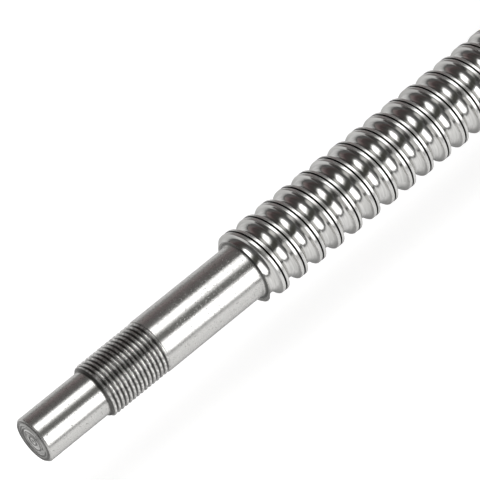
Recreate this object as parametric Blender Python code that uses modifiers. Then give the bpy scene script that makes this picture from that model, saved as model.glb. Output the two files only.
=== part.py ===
"""Ball screw assembly: a rolled screw of 16 mm diameter and 5 mm lead with its flanged ball nut.

The origin is on the screw's axis, at the ball thread's end of the bearing seat, where the short
neck and fillet before the bearing shoulder begin. +X runs along the screw into the ball thread and +Z is up. Lengths in the constants are millimetres. Angles are degrees
about +X, counted from +Y towards +Z.
"""

import math

import bmesh
import bpy
from mathutils import Matrix, Vector

MM = 0.001

# Ball thread: right-hand, with the grooves' phase set by the groove centre's place at angle 0.
LEAD = 5.0
SCREW_R = 8.0
BALL_R = 1.5875
BALL_CIRCLE_R = 8.25
GROOVE_X = -0.22
SHAFT_GROOVE_R = 1.65
NUT_GROOVE_R = 1.70
GROOVE_TANGENTS = (65.0, 25.0)
SHAFT_STEPS = 12
NUT_STEPS = 18

# Machined ends of the shaft.
DRIVE_R, DRIVE_LENGTH = 5.0, 15.0
LOCK_THREAD_LENGTH, LOCK_PITCH = 15.0, 1.0
LOCK_CREST_R, LOCK_ROOT_R, LOCK_CORE_R = 5.93, 5.42, 5.12
BEARING_R, BEARING_LENGTH = 6.0, 24.0
BALL_THREAD_LENGTH = 185.0
SHOULDER_X, SHOULDER_FILLET, SHOULDER_CHAMFER = 1.1, 0.7, 0.2
LEAD_IN_R, LEAD_IN_LENGTH = 6.95, 0.9
SUPPORT_R, SUPPORT_LENGTH = 5.0, 11.0
CLIP_GROOVE_R, CLIP_GROOVE_FAR, CLIP_GROOVE_WIDTH = 4.8, 9.15, 1.15
CHAMFER = 0.5
CORE_OVERLAP = 2.0
TURNED_STEPS = 36

# Nut, flange towards the bearing shoulder.
NUT_X, NUT_LENGTH = 98.0, 42.0
FLANGE_R, FLANGE_THICKNESS, FLANGE_FLAT = 24.0, 10.0, 20.0
BARREL_R = 14.0
NUT_BORE_R = 8.4
BOLT_CIRCLE_R, BOLT_HOLE_R = 19.0, 2.75
BOLT_ANGLES = (0.0, 45.0, 135.0, 180.0, 225.0, 315.0)

# Wiper rings sit in a counterbore at each end of the nut.
COUNTERBORE_R, COUNTERBORE_DEPTH = 11.5, 4.0
WIPER_R, WIPER_BORE_R = 11.35, 8.12
WIPER_THICKNESS, WIPER_INSET = 3.6, 0.2
WIPER_GROOVE_R, WIPER_GROOVE_HALF = 10.4, 1.1
WIPER_STEPS = 24

# Grub screws: M3 with a dog point in the wiper's groove, and an M6 one in the lubrication port.
SET_SCREW_R, SET_HOLE_R = 1.42, 1.55
DOG_R, DOG_START, DOG_END = 0.75, 10.7, 11.6
BARREL_SET_TOP, FLANGE_SET_TOP = 13.6, 16.4
SET_SOCKET_R, SET_SOCKET_DEPTH = 0.87, 1.3
LUBE_X = 103.0
LUBE_HOLE_R, LUBE_PLUG_R = 3.05, 2.9
LUBE_PLUG_LOW, LUBE_PLUG_TOP = 13.0, 19.3
LUBE_SOCKET_R, LUBE_SOCKET_DEPTH = 1.74, 3.0

# Ball circuits: each is one turn, closed by a return insert that lifts the balls over the land.
CIRCUITS = 3
BALLS_PER_CIRCUIT = 16
FIRST_INSERT_ANGLE, INSERT_STEP_ANGLE = 90.0, 120.0
FIRST_INSERT_TURN = 22
RETURN_HALF_ANGLE = 30.0
RETURN_RISE = 1.6
CHANNEL_R = 1.76
INSERT_HALF_LENGTH, INSERT_HALF_WIDTH = 6.0, 3.25
INSERT_GAP = 0.1
INSERT_TOP_R = 13.85
INSERT_BORE_R = 8.3


def clear_scene():
    for obj in list(bpy.data.objects):
        bpy.data.objects.remove(obj, do_unlink=True)


def new_collection(name):
    collection = bpy.data.collections.new(name)
    bpy.context.scene.collection.children.link(collection)
    return collection


def steel_like(name, colour, roughness, metallic):
    """A Principled BSDF material with one colour, roughness and metallic value."""
    material = bpy.data.materials.new(name)
    material.use_nodes = True
    shader = material.node_tree.nodes["Principled BSDF"]
    shader.inputs["Base Color"].default_value = (*colour, 1.0)
    shader.inputs["Roughness"].default_value = roughness
    shader.inputs["Metallic"].default_value = metallic
    return material


def around(x, radius, angle):
    """The point at this distance from the axis, in metres."""
    turn = math.radians(angle)
    return Vector((x, radius * math.cos(turn), radius * math.sin(turn))) * MM


def tool_object(name, mesh):
    """An object in the cutters' collection, left out of the part."""
    obj = bpy.data.objects.new(name, mesh)
    CUTTERS.objects.link(obj)
    obj.hide_render = True
    obj.display_type = "WIRE"
    return obj


def mesh_from(bm, name):
    mesh = bpy.data.meshes.new(name)
    bm.to_mesh(mesh)
    bm.free()
    return mesh


def open_profile(name, points):
    """A chain of edges through (x, radius) points, in the plane of angle 0."""
    bm = bmesh.new()
    verts = [bm.verts.new(around(x, radius, 0.0)) for x, radius in points]
    for first, second in zip(verts, verts[1:]):
        bm.edges.new((first, second))
    return mesh_from(bm, name)


def add_screw(obj, steps, lead=0.0, turns=1):
    screw = obj.modifiers.new("screw", "SCREW")
    screw.axis = "X"
    screw.steps = steps
    screw.render_steps = steps
    screw.iterations = turns
    screw.screw_offset = lead * MM
    screw.use_merge_vertices = lead == 0.0
    screw.merge_threshold = 1e-6
    return screw


def bake(obj):
    """Replaces the object's mesh with its evaluated one, welded and facing out."""
    graph = bpy.context.evaluated_depsgraph_get()
    mesh = bpy.data.meshes.new_from_object(obj.evaluated_get(graph))
    obj.modifiers.clear()
    bm = bmesh.new()
    bm.from_mesh(mesh)
    bmesh.ops.remove_doubles(bm, verts=bm.verts, dist=1e-6)
    bmesh.ops.recalc_face_normals(bm, faces=bm.faces)
    bm.to_mesh(mesh)
    bm.free()
    obj.data = mesh
    return obj


def turned(name, points, steps=TURNED_STEPS):
    """A solid of revolution: its profile starts and ends on the axis."""
    obj = tool_object(name, open_profile(name, points))
    add_screw(obj, steps)
    return bake(obj)


def threaded_rod(name, pitch_profile, lead, turns, steps):
    """A rod swept from one pitch of profile, right-handed, each end closed by a fan to the axis."""
    obj = tool_object(name, open_profile(name, pitch_profile))
    add_screw(obj, steps, lead, turns)
    bake(obj)
    bm = bmesh.new()
    bm.from_mesh(obj.data)
    low = min(vert.co.x for vert in bm.verts)
    high = max(vert.co.x for vert in bm.verts)
    centres = [bm.verts.new((x, 0.0, 0.0)) for x in (low + lead * MM / 2, high - lead * MM / 2)]
    for edge in [edge for edge in bm.edges if edge.is_boundary]:
        near_end = edge.verts[0].co.x > (low + high) / 2
        bm.faces.new((*edge.verts, centres[near_end]))
    bmesh.ops.recalc_face_normals(bm, faces=bm.faces)
    bm.to_mesh(obj.data)
    bm.free()
    return obj


def combine(target, operation, *others):
    """Boolean with each of the others in turn, baked into the target."""
    for other in others:
        boolean = target.modifiers.new(operation.lower(), "BOOLEAN")
        boolean.operation = operation
        boolean.solver = "EXACT"
        boolean.object = other
    return bake(target)


def cylinder(name, radius, start, end, sides=24, phase=0.0):
    """A round or many-sided bar between two points given in metres."""
    axis = end - start
    bm = bmesh.new()
    bmesh.ops.create_cone(
        bm, cap_ends=True, segments=sides, radius1=radius * MM, radius2=radius * MM, depth=axis.length
    )
    turn = Matrix.Rotation(math.radians(phase), 4, "Z")
    aim = axis.to_track_quat("Z", "Y").to_matrix().to_4x4()
    bm.transform(Matrix.Translation((start + end) / 2) @ aim @ turn)
    return tool_object(name, mesh_from(bm, name))


def radial_bar(name, radius, x, angle, low, high, sides=24):
    return cylinder(name, radius, around(x, low, angle), around(x, high, angle), sides)


def part(obj, name, material):
    """Moves a finished solid from the cutters to the part, shaded smooth with sharp edges."""
    CUTTERS.objects.unlink(obj)
    PARTS.objects.link(obj)
    obj.name = name
    obj.hide_render = False
    obj.display_type = "TEXTURED"
    obj.data.name = name
    obj.data.materials.clear()
    obj.data.materials.append(material)
    obj.data.shade_smooth()
    obj.data.set_sharp_from_angle(angle=math.radians(35))
    return obj


def groove_outline(groove_r, land_r, side):
    """Half a pointed-arch groove, as (axial distance, radius) from the land's edge to its bottom.

    Its straight edges touch a circle about the ball's centre. side is -1 for a groove that is
    cut towards the axis and 1 for one cut away from it.
    """
    normals = [math.radians(angle) for angle in GROOVE_TANGENTS]
    steep, shallow = normals
    rise = side * (land_r - BALL_CIRCLE_R)
    edge = ((groove_r - rise * math.cos(steep)) / math.sin(steep), land_r)
    knee_x = groove_r * (math.cos(shallow) - math.cos(steep)) / math.sin(steep - shallow)
    knee_rise = (groove_r - knee_x * math.sin(steep)) / math.cos(steep)
    bottom_rise = groove_r / math.cos(shallow)
    return [
        edge,
        (knee_x, BALL_CIRCLE_R + side * knee_rise),
        (0.0, BALL_CIRCLE_R + side * bottom_rise),
    ]


def one_pitch(groove_r, land_r, side, first_x):
    """One pitch of the ball thread: the groove that is centred on first_x, then its land."""
    half = groove_outline(groove_r, land_r, side)
    rising = [(first_x + x, radius) for x, radius in reversed(half[:-1])]
    falling = [(first_x - x, radius) for x, radius in half]
    next_edge = (first_x + LEAD - half[0][0], land_r)
    return falling + rising + [next_edge]


def drive_end(core_end):
    """Drive journal, the core of the locknut thread and the bearing journal."""
    end = -(BEARING_LENGTH + LOCK_THREAD_LENGTH + DRIVE_LENGTH)
    lock_start = end + DRIVE_LENGTH
    bearing_start = lock_start + LOCK_THREAD_LENGTH
    return turned(
        "drive_end",
        [
            (end, 0.0),
            (end, DRIVE_R - CHAMFER),
            (end + CHAMFER, DRIVE_R),
            (lock_start, DRIVE_R),
            (lock_start, LOCK_CORE_R),
            (bearing_start, LOCK_CORE_R),
            (bearing_start, BEARING_R),
            (core_end, BEARING_R),
            (core_end, 0.0),
        ],
    )


def locknut_thread():
    """The fine thread for the bearing locknut, with a chamfered start."""
    lock_end = -BEARING_LENGTH
    lock_start = lock_end - LOCK_THREAD_LENGTH
    turns = int(LOCK_THREAD_LENGTH / LOCK_PITCH) + 4
    first = lock_start - 2.0 * LOCK_PITCH
    inside = 0.1
    pitch = [
        (first, LOCK_ROOT_R),
        (first + LOCK_PITCH / 2, LOCK_CREST_R),
        (first + LOCK_PITCH, LOCK_ROOT_R),
    ]
    thread = threaded_rod("locknut_thread", pitch, LOCK_PITCH, turns, SHAFT_STEPS)
    envelope = turned(
        "locknut_envelope",
        [
            (lock_start + inside, 0.0),
            (lock_start + inside, DRIVE_R),
            (lock_start + 2 * CHAMFER, LOCK_CREST_R + 0.1),
            (lock_end + 0.3, LOCK_CREST_R + 0.1),
            (lock_end + 0.3, 0.0),
        ],
    )
    return combine(thread, "INTERSECT", envelope)


def shoulder_profile():
    """(x, radius) of the fillet up from the bearing journal, the shoulder and its chamfer."""
    past = 0.3
    points = [(SHOULDER_X - SHOULDER_FILLET, BEARING_R - 0.06)]
    for angle in (30.0, 60.0, 90.0):
        turn = math.radians(angle)
        x = SHOULDER_X - SHOULDER_FILLET * (1.0 - math.sin(turn))
        points.append((x, BEARING_R + SHOULDER_FILLET * (1.0 - math.cos(turn))))
    points.append((SHOULDER_X, SCREW_R - SHOULDER_CHAMFER))
    points.append((SHOULDER_X + SHOULDER_CHAMFER + past, SCREW_R + past))
    return points


def ball_thread():
    """The ball thread's full length, from the bearing shoulder to the far end's lead-in chamfer."""
    spare_turns = 2
    first = GROOVE_X - spare_turns * LEAD
    turns = int(BALL_THREAD_LENGTH / LEAD) + 2 * spare_turns
    pitch = one_pitch(SHAFT_GROOVE_R, SCREW_R, -1, first)
    thread = threaded_rod("ball_thread", pitch, LEAD, turns, SHAFT_STEPS)
    past = 0.3
    reach = LEAD_IN_LENGTH * (SCREW_R + past - LEAD_IN_R) / (SCREW_R - LEAD_IN_R)
    envelope = turned(
        "ball_thread_envelope",
        [
            (SHOULDER_X - SHOULDER_FILLET, 0.0),
            *shoulder_profile(),
            (BALL_THREAD_LENGTH - reach, SCREW_R + past),
            (BALL_THREAD_LENGTH, LEAD_IN_R),
            (BALL_THREAD_LENGTH, 0.0),
        ],
    )
    return combine(thread, "INTERSECT", envelope)


def support_end(core_start):
    """The plain journal for the support bearing, with its circlip groove."""
    start = BALL_THREAD_LENGTH
    end = start + SUPPORT_LENGTH
    groove_far = start + CLIP_GROOVE_FAR
    groove_near = groove_far - CLIP_GROOVE_WIDTH
    return turned(
        "support_end",
        [
            (core_start, 0.0),
            (core_start, SUPPORT_R),
            (groove_near, SUPPORT_R),
            (groove_near, CLIP_GROOVE_R),
            (groove_far, CLIP_GROOVE_R),
            (groove_far, SUPPORT_R),
            (end - CHAMFER, SUPPORT_R),
            (end, SUPPORT_R - CHAMFER),
            (end, 0.0),
        ],
    )


def screw_shaft(material):
    shaft = drive_end(CORE_OVERLAP)
    others = (locknut_thread(), ball_thread(), support_end(BALL_THREAD_LENGTH - CORE_OVERLAP))
    combine(shaft, "UNION", *others)
    return part(shaft, "screw_shaft", material)


def insert_places():
    """(axial place, angle) of each return insert, centred on a land of the nut."""
    for index in range(CIRCUITS):
        angle = FIRST_INSERT_ANGLE + index * INSERT_STEP_ANGLE
        turns = FIRST_INSERT_TURN + index + 0.5
        yield GROOVE_X + LEAD * (angle / 360.0 + turns), angle


def circuit_point(place, turn):
    """The ball centre's path: turn runs once around, with the return crossing about turn 0."""
    x_mid, angle_mid = place
    turn = (turn + 180.0) % 360.0 - 180.0
    run = turn % 360.0
    if abs(turn) >= RETURN_HALF_ANGLE:
        return around(x_mid - LEAD / 2 + LEAD * run / 360.0, BALL_CIRCLE_R, angle_mid + run)
    way = (turn + RETURN_HALF_ANGLE) / (2 * RETURN_HALF_ANGLE)
    reach = LEAD / 2 - LEAD * RETURN_HALF_ANGLE / 360.0
    slope = LEAD * 2 * RETURN_HALF_ANGLE / 360.0
    sway = reach * (1 - 6 * way**2 + 4 * way**3) + slope * (way - 3 * way**2 + 2 * way**3)
    lift = RETURN_RISE * math.sin(math.pi * way)
    return around(x_mid + sway, BALL_CIRCLE_R + lift, angle_mid + turn)


def ball_centres(place):
    """Ball centres at equal distances along the closed circuit."""
    samples = 1440
    path = [circuit_point(place, 360.0 * i / samples) for i in range(samples + 1)]
    lengths = [0.0]
    for first, second in zip(path, path[1:]):
        lengths.append(lengths[-1] + (second - first).length)
    spacing = lengths[-1] / BALLS_PER_CIRCUIT
    wanted = [spacing * i for i in range(BALLS_PER_CIRCUIT)]
    return [next(point for point, run in zip(path, lengths) if run >= goal) for goal in wanted]


def balls(material):
    for circuit, place in enumerate(insert_places(), start=1):
        for number, centre in enumerate(ball_centres(place), start=1):
            bm = bmesh.new()
            bmesh.ops.create_icosphere(bm, subdivisions=2, radius=BALL_R * MM)
            name = f"ball_{circuit}_{number:02d}"
            ball = tool_object(name, mesh_from(bm, name))
            part(ball, name, material)
            ball.location = centre


def insert_frame(place):
    """Axes at a return insert: along its length, across it and outwards."""
    x_mid, angle = place
    start = circuit_point(place, -RETURN_HALF_ANGLE)
    end = circuit_point(place, RETURN_HALF_ANGLE)
    outward = around(0.0, 1.0, angle).normalized()
    along = (end - start).normalized()
    across = outward.cross(along)
    frame = Matrix((along, across, outward)).transposed().to_4x4()
    return Matrix.Translation((x_mid * MM, 0.0, 0.0)) @ frame


def pill_prism(name, place, grow):
    """A prism with a round-ended outline, standing outwards through the barrel's wall."""
    half_width = INSERT_HALF_WIDTH + grow
    straight = INSERT_HALF_LENGTH - INSERT_HALF_WIDTH
    arc_steps = 8
    low, high = 3.0, 18.0
    bm = bmesh.new()
    outline = []
    for end, start_angle in ((1, -90.0), (-1, 90.0)):
        for step in range(arc_steps + 1):
            angle = math.radians(start_angle + 180.0 * step / arc_steps)
            x = end * straight + half_width * math.cos(angle)
            outline.append(bm.verts.new(Vector((x, half_width * math.sin(angle), low)) * MM))
    face = bm.faces.new(outline)
    grown = bmesh.ops.extrude_face_region(bm, geom=[face])["geom"]
    top = [item for item in grown if isinstance(item, bmesh.types.BMVert)]
    bmesh.ops.translate(bm, verts=top, vec=(0.0, 0.0, (high - low) * MM))
    bmesh.ops.recalc_face_normals(bm, faces=bm.faces)
    bm.transform(insert_frame(place))
    return tool_object(name, mesh_from(bm, name))


def channel_tube(name, place):
    """The ball channel through a return insert, run on into the grooves at both ends."""
    run_on = 14.0
    reach = RETURN_HALF_ANGLE + run_on
    points = 13
    curve = bpy.data.curves.new(name, "CURVE")
    curve.dimensions = "3D"
    curve.bevel_depth = CHANNEL_R * MM
    curve.bevel_resolution = 2
    curve.use_fill_caps = True
    spline = curve.splines.new("POLY")
    spline.points.add(points - 1)
    for index, point in enumerate(spline.points):
        turn = -reach + 2 * reach * index / (points - 1)
        point.co = (*circuit_point(place, turn), 1.0)
    guide = tool_object(name + "_guide", curve)
    graph = bpy.context.evaluated_depsgraph_get()
    mesh = bpy.data.meshes.new_from_object(guide.evaluated_get(graph))
    bpy.data.objects.remove(guide)
    return bake(tool_object(name, mesh))


def return_inserts(material):
    for number, place in enumerate(insert_places(), start=1):
        name = f"return_insert_{number}"
        insert = pill_prism(name, place, 0.0)
        x_mid = place[0]
        low, high = around(x_mid - 10.0, 0.0, 0.0), around(x_mid + 10.0, 0.0, 0.0)
        outside = cylinder(name + "_outside", INSERT_TOP_R, low, high, sides=64)
        bore = cylinder(name + "_bore", INSERT_BORE_R, low, high, sides=48)
        channel = channel_tube(name + "_channel", place)
        combine(insert, "INTERSECT", outside)
        combine(insert, "DIFFERENCE", bore, channel)
        part(insert, name, material)


def nut_blank():
    end = NUT_X + NUT_LENGTH
    flange_end = NUT_X + FLANGE_THICKNESS
    return turned(
        "nut_blank",
        [
            (NUT_X, 0.0),
            (NUT_X, FLANGE_R - CHAMFER),
            (NUT_X + CHAMFER, FLANGE_R),
            (flange_end - CHAMFER, FLANGE_R),
            (flange_end, FLANGE_R - CHAMFER),
            (flange_end, BARREL_R),
            (end - CHAMFER, BARREL_R),
            (end, BARREL_R - CHAMFER),
            (end, 0.0),
        ],
        steps=48,
    )


def thread_tap():
    """The space inside the nut's ball thread, a little past both of its ends."""
    first = GROOVE_X + 19 * LEAD
    turns = int(NUT_LENGTH / LEAD) + 3
    widen = 1.0 / math.cos(math.pi / NUT_STEPS)
    pitch = one_pitch(NUT_GROOVE_R, NUT_BORE_R, 1, first)
    pitch = [(x, radius * widen) for x, radius in pitch]
    return threaded_rod("thread_tap", pitch, LEAD, turns, NUT_STEPS)


def counterbores():
    end = NUT_X + NUT_LENGTH
    past = 2.0
    for name, low, high in (
        ("counterbore_flange", NUT_X - past, NUT_X + COUNTERBORE_DEPTH),
        ("counterbore_barrel", end - COUNTERBORE_DEPTH, end + past),
    ):
        yield cylinder(name, COUNTERBORE_R, around(low, 0, 0), around(high, 0, 0), sides=48)


def bolt_holes():
    for angle in BOLT_ANGLES:
        start = around(NUT_X - 1.0, BOLT_CIRCLE_R, angle)
        end = around(NUT_X + FLANGE_THICKNESS + 1.0, BOLT_CIRCLE_R, angle)
        yield cylinder(f"bolt_hole_{angle:.0f}", BOLT_HOLE_R, start, end, sides=16)


def flange_flats():
    """Boxes that cut the two parallel flats off the flange."""
    width = 2 * FLANGE_R
    height = 10.0
    for side in (1, -1):
        bm = bmesh.new()
        bmesh.ops.create_cube(bm, size=1.0)
        bmesh.ops.scale(bm, verts=bm.verts, vec=Vector((2 * FLANGE_THICKNESS, width, height)) * MM)
        centre = (NUT_X + FLANGE_THICKNESS / 2, 0.0, side * (FLANGE_FLAT + height / 2))
        bmesh.ops.translate(bm, verts=bm.verts, vec=Vector(centre) * MM)
        yield tool_object(f"flat_{side}", mesh_from(bm, "flat"))


def set_screw_places():
    """Name, axial place, angle and the radius of the outer end of each M3 grub screw."""
    ring_middle = WIPER_INSET + WIPER_THICKNESS / 2
    barrel_x = NUT_X + NUT_LENGTH - ring_middle
    return (
        ("set_screw_flange", NUT_X + ring_middle, 270.0, FLANGE_SET_TOP),
        ("set_screw_barrel_1", barrel_x, 0.0, BARREL_SET_TOP),
        ("set_screw_barrel_2", barrel_x, 180.0, BARREL_SET_TOP),
    )


def nut_body(material):
    nut = nut_blank()
    combine(nut, "DIFFERENCE", *flange_flats())
    combine(nut, "DIFFERENCE", *counterbores())
    combine(nut, "DIFFERENCE", thread_tap())
    combine(nut, "DIFFERENCE", *bolt_holes())
    past = FLANGE_R + 2.0
    holes = [radial_bar("lube_hole", LUBE_HOLE_R, LUBE_X, 90.0, 7.0, past)]
    for name, x, angle, _ in set_screw_places():
        holes.append(radial_bar(name + "_hole", SET_HOLE_R, x, angle, 10.0, past, sides=16))
    for number, place in enumerate(insert_places(), start=1):
        holes.append(pill_prism(f"insert_window_{number}", place, INSERT_GAP))
    combine(nut, "DIFFERENCE", *holes)
    return part(nut, "nut_body", material)


def wiper_ring(name, first_x, material):
    """A round wiper with a groove in its rim, which the grub screws' points hold it by."""
    last_x = first_x + WIPER_THICKNESS
    middle = (first_x + last_x) / 2
    bevel = 0.3
    disc = turned(
        name,
        [
            (first_x, 0.0),
            (first_x, WIPER_R - bevel),
            (first_x + bevel, WIPER_R),
            (middle - WIPER_GROOVE_HALF, WIPER_R),
            (middle - WIPER_GROOVE_HALF, WIPER_GROOVE_R),
            (middle + WIPER_GROOVE_HALF, WIPER_GROOVE_R),
            (middle + WIPER_GROOVE_HALF, WIPER_R),
            (last_x - bevel, WIPER_R),
            (last_x, WIPER_R - bevel),
            (last_x, 0.0),
        ],
        steps=WIPER_STEPS,
    )
    vertex_r = WIPER_BORE_R / math.cos(math.pi / WIPER_STEPS)
    ends = around(first_x - 1.0, 0, 0), around(last_x + 1.0, 0, 0)
    combine(disc, "DIFFERENCE", cylinder(name + "_bore", vertex_r, *ends, WIPER_STEPS))
    return part(disc, name, material)


def wiper_rings(material):
    end = NUT_X + NUT_LENGTH
    wiper_ring("wiper_ring_flange_end", NUT_X + WIPER_INSET, material)
    wiper_ring("wiper_ring_barrel_end", end - WIPER_INSET - WIPER_THICKNESS, material)


def grub_screws(material):
    for name, x, angle, top in set_screw_places():
        screw = radial_bar(name, SET_SCREW_R, x, angle, DOG_END, top, sides=16)
        dog = radial_bar(name + "_dog", DOG_R, x, angle, DOG_START, DOG_END + 0.5, sides=12)
        socket = radial_bar(
            name + "_socket", SET_SOCKET_R, x, angle, top - SET_SOCKET_DEPTH, top + 1.0, sides=6
        )
        combine(screw, "UNION", dog)
        combine(screw, "DIFFERENCE", socket)
        part(screw, name, material)


def lube_plug(material):
    plug = radial_bar("lube_plug", LUBE_PLUG_R, LUBE_X, 90.0, LUBE_PLUG_LOW, LUBE_PLUG_TOP)
    socket_low = LUBE_PLUG_TOP - LUBE_SOCKET_DEPTH
    socket = radial_bar(
        "lube_socket", LUBE_SOCKET_R, LUBE_X, 90.0, socket_low, LUBE_PLUG_TOP + 1.0, sides=6
    )
    combine(plug, "DIFFERENCE", socket)
    return part(plug, "lube_plug", material)


clear_scene()
PARTS = new_collection("ball_screw_assembly")
CUTTERS = new_collection("cutters")

screw_shaft(steel_like("polished_screw_steel", (0.78, 0.78, 0.76), 0.12, 1.0))
nut_body(steel_like("ground_nut_steel", (0.62, 0.62, 0.61), 0.25, 1.0))
return_inserts(steel_like("insert_steel", (0.42, 0.41, 0.40), 0.40, 1.0))
balls(steel_like("ball_steel", (0.82, 0.82, 0.82), 0.05, 1.0))
wiper_rings(steel_like("wiper_plastic", (0.03, 0.03, 0.035), 0.50, 0.0))
grub_screws(steel_like("black_oxide_steel", (0.09, 0.09, 0.09), 0.45, 1.0))
lube_plug(steel_like("zinc_plated_steel", (0.70, 0.70, 0.66), 0.30, 1.0))
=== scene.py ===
"""Looks of the ball screw assembly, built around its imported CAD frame.

Meshes are made in millimetres, in the CAD frame: the origin is on the screw's axis, just before the
fillet of the bearing shoulder, and +X runs into the ball thread. They become metres when they are
finished. Angles are degrees about +X, counted from +Y towards +Z.
"""

import math

import bmesh
import bpy
from mathutils import Matrix, Vector


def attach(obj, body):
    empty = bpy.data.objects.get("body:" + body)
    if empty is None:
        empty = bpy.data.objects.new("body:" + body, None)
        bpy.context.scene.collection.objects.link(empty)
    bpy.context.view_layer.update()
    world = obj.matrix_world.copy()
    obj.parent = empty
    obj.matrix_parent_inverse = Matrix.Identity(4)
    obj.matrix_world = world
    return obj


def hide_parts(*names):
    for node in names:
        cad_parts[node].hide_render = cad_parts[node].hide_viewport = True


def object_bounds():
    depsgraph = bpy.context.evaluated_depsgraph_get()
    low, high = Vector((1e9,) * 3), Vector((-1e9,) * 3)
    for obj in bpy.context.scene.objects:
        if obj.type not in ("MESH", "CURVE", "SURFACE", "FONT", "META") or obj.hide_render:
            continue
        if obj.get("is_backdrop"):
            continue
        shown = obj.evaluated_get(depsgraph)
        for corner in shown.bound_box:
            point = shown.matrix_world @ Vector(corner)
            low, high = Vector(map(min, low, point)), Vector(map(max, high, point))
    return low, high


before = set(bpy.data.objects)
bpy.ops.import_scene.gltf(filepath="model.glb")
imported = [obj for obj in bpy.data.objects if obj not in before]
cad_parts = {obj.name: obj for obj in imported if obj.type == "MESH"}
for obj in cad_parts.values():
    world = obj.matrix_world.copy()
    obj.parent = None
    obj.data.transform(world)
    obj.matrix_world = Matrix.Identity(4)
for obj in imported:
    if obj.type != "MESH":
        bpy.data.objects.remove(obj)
CAD_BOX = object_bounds()

MM = 0.001

# Ball thread, as in the CAD, with a thin seam rolled into the middle of its land.
LEAD = 5.0
SCREW_R = 8.0
BALL_CIRCLE_R = 8.25
GROOVE_X = -0.22
SHAFT_GROOVE_R = 1.65
NUT_GROOVE_R = 1.70
BALL_THREAD_LENGTH = 185.0
LAND_EDGE_R = 0.22
SEAM_HALF, SEAM_DEPTH = 0.20, 0.20
SHAFT_STEPS = 64
SHOULDER_X, SHOULDER_FILLET, SHOULDER_CHAMFER = 1.1, 0.7, 0.6
LEAD_IN_R, LEAD_IN_LENGTH = 6.95, 0.9
CUT_PAST = 0.3

# Machined ends of the shaft.
DRIVE_R, DRIVE_LENGTH = 5.0, 15.0
LOCK_THREAD_LENGTH, LOCK_PITCH = 15.0, 1.0
LOCK_CREST_R, LOCK_ROOT_R, LOCK_CORE_R = 5.93, 5.40, 5.12
BEARING_R, BEARING_LENGTH = 6.0, 24.0
SUPPORT_R, SUPPORT_LENGTH = 5.0, 11.0
CLIP_GROOVE_R, CLIP_GROOVE_FAR, CLIP_GROOVE_WIDTH = 4.8, 9.15, 1.15
CHAMFER, CHAMFER_SOFTNESS = 0.45, 0.08
FACING_PITCH, FACING_DEPTH = 0.62, 0.13
CORE_OVERLAP = 2.0
FINE_STEPS = 128

# Nut.
NUT_X, NUT_LENGTH = 98.0, 42.0
FLANGE_R, FLANGE_THICKNESS, FLANGE_FLAT = 24.0, 10.0, 20.0
BARREL_R = 14.0
NUT_BORE_R = 8.4
NUT_BEVEL = 0.5
BOLT_CIRCLE_R, BOLT_HOLE_R = 19.0, 2.75
BOLT_ANGLES = (0.0, 45.0, 135.0, 180.0, 225.0, 315.0)
COUNTERBORE_R, COUNTERBORE_DEPTH = 11.5, 4.0
NUT_STEPS = 48

# Wiper rings.
WIPER_R, WIPER_BORE_R = 11.35, 8.12
WIPER_THICKNESS, WIPER_INSET = 3.6, 0.2
WIPER_GROOVE_R, WIPER_GROOVE_HALF = 10.4, 1.1

# Grub screws.
SET_SCREW_R, SET_HOLE_R, SET_PITCH = 1.42, 1.55, 0.5
DOG_R, DOG_START, DOG_END = 0.75, 10.7, 11.6
BARREL_SET_TOP, FLANGE_SET_TOP = 13.6, 16.4
SET_SOCKET_R, SET_SOCKET_DEPTH = 0.87, 1.3
LUBE_X, LUBE_ANGLE = 103.0, 90.0
LUBE_HOLE_R, LUBE_PLUG_R, LUBE_PITCH = 3.05, 2.9, 1.0
LUBE_PLUG_LOW, LUBE_PLUG_TOP = 13.0, 19.3
LUBE_SOCKET_R, LUBE_SOCKET_DEPTH = 1.74, 3.0

# Return inserts, for the windows that hold them.
CIRCUITS = 3
FIRST_INSERT_ANGLE, INSERT_STEP_ANGLE = 90.0, 120.0
FIRST_INSERT_TURN = 22
RETURN_HALF_ANGLE = 30.0
INSERT_HALF_LENGTH, INSERT_HALF_WIDTH = 6.0, 3.25
INSERT_GAP = 0.1
WINDOW_LOW, WINDOW_HIGH, WINDOW_STEPS = 3.0, 18.0, 14

# Camera: where it looks, from where, and its lens.
CAMERA_AIM = (3.751, 3.977, 3.590)
CAMERA_AZIMUTH, CAMERA_ELEVATION = -43.90, 56.70
CAMERA_DISTANCE = 636.7
CAMERA_LENS = 246.24

SCREW_SLOT = "polished_screw_steel"
FLOOR_Z = -24.1
FLOOR_HALF = 3000.0


# ---------------------------------------------------------------- meshes


def object_from(name, verts, faces):
    """A mesh object in millimetres, with its faces turned outwards."""
    mesh = bpy.data.meshes.new(name)
    mesh.from_pydata(verts, [], faces)
    bm = bmesh.new()
    bm.from_mesh(mesh)
    bmesh.ops.recalc_face_normals(bm, faces=bm.faces)
    bm.to_mesh(mesh)
    bm.free()
    obj = bpy.data.objects.new(name, mesh)
    bpy.context.scene.collection.objects.link(obj)
    return obj


def around(x, radius, angle):
    """The point at this distance from the axis."""
    turn = math.radians(angle)
    return Vector((x, radius * math.cos(turn), radius * math.sin(turn)))


def lathe(name, points, steps=FINE_STEPS):
    """A solid of revolution about X. Its profile of (x, radius) starts and ends on the axis."""
    verts = [Vector((points[0][0], 0.0, 0.0)), Vector((points[-1][0], 0.0, 0.0))]
    inner = points[1:-1]
    for step in range(steps):
        verts += [around(x, radius, 360.0 * step / steps) for x, radius in inner]
    count = len(inner)
    faces = []
    for step in range(steps):
        here = 2 + step * count
        there = 2 + (step + 1) % steps * count
        faces.append((0, here, there))
        faces.append((1, there + count - 1, here + count - 1))
        for index in range(count - 1):
            faces.append((here + index, here + index + 1, there + index + 1, there + index))
    return object_from(name, verts, faces)


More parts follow.
